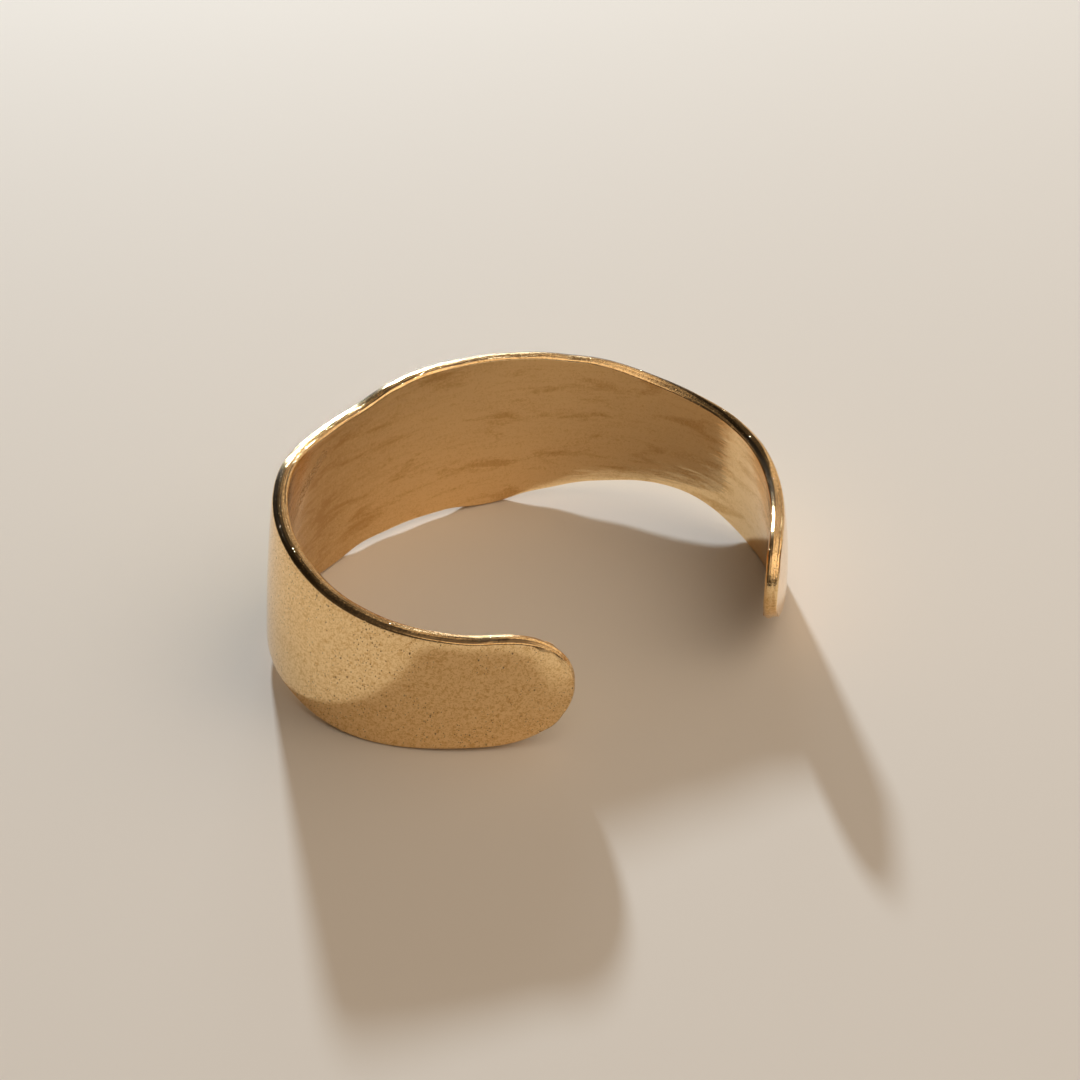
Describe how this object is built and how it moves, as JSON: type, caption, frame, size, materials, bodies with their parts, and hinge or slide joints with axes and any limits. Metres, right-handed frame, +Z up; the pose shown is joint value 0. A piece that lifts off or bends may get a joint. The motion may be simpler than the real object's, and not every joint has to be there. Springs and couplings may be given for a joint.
{
  "type": "cuff bracelet",
  "caption": "Open cuff bracelet: one rigid metal band, wide at the back and narrow at its rounded ends, worn on a wrist that goes in through the gap.",
  "frame": {"origin": "on the ground, under the middle of the band's box; the bracelet lies on its lower edge", "axes": "+Z up, along the wrist; the gap between the two ends faces -Y and the middle of the back faces +Y; +X to the right end"},
  "size_m": [0.0632, 0.051, 0.0219],
  "materials": {
    "gold": "polished outside and on the rim, brushed satin inside, fine pits and scratches"
  },
  "bodies": {
    "root": {"band": "gold"}
  },
  "joints": []
}
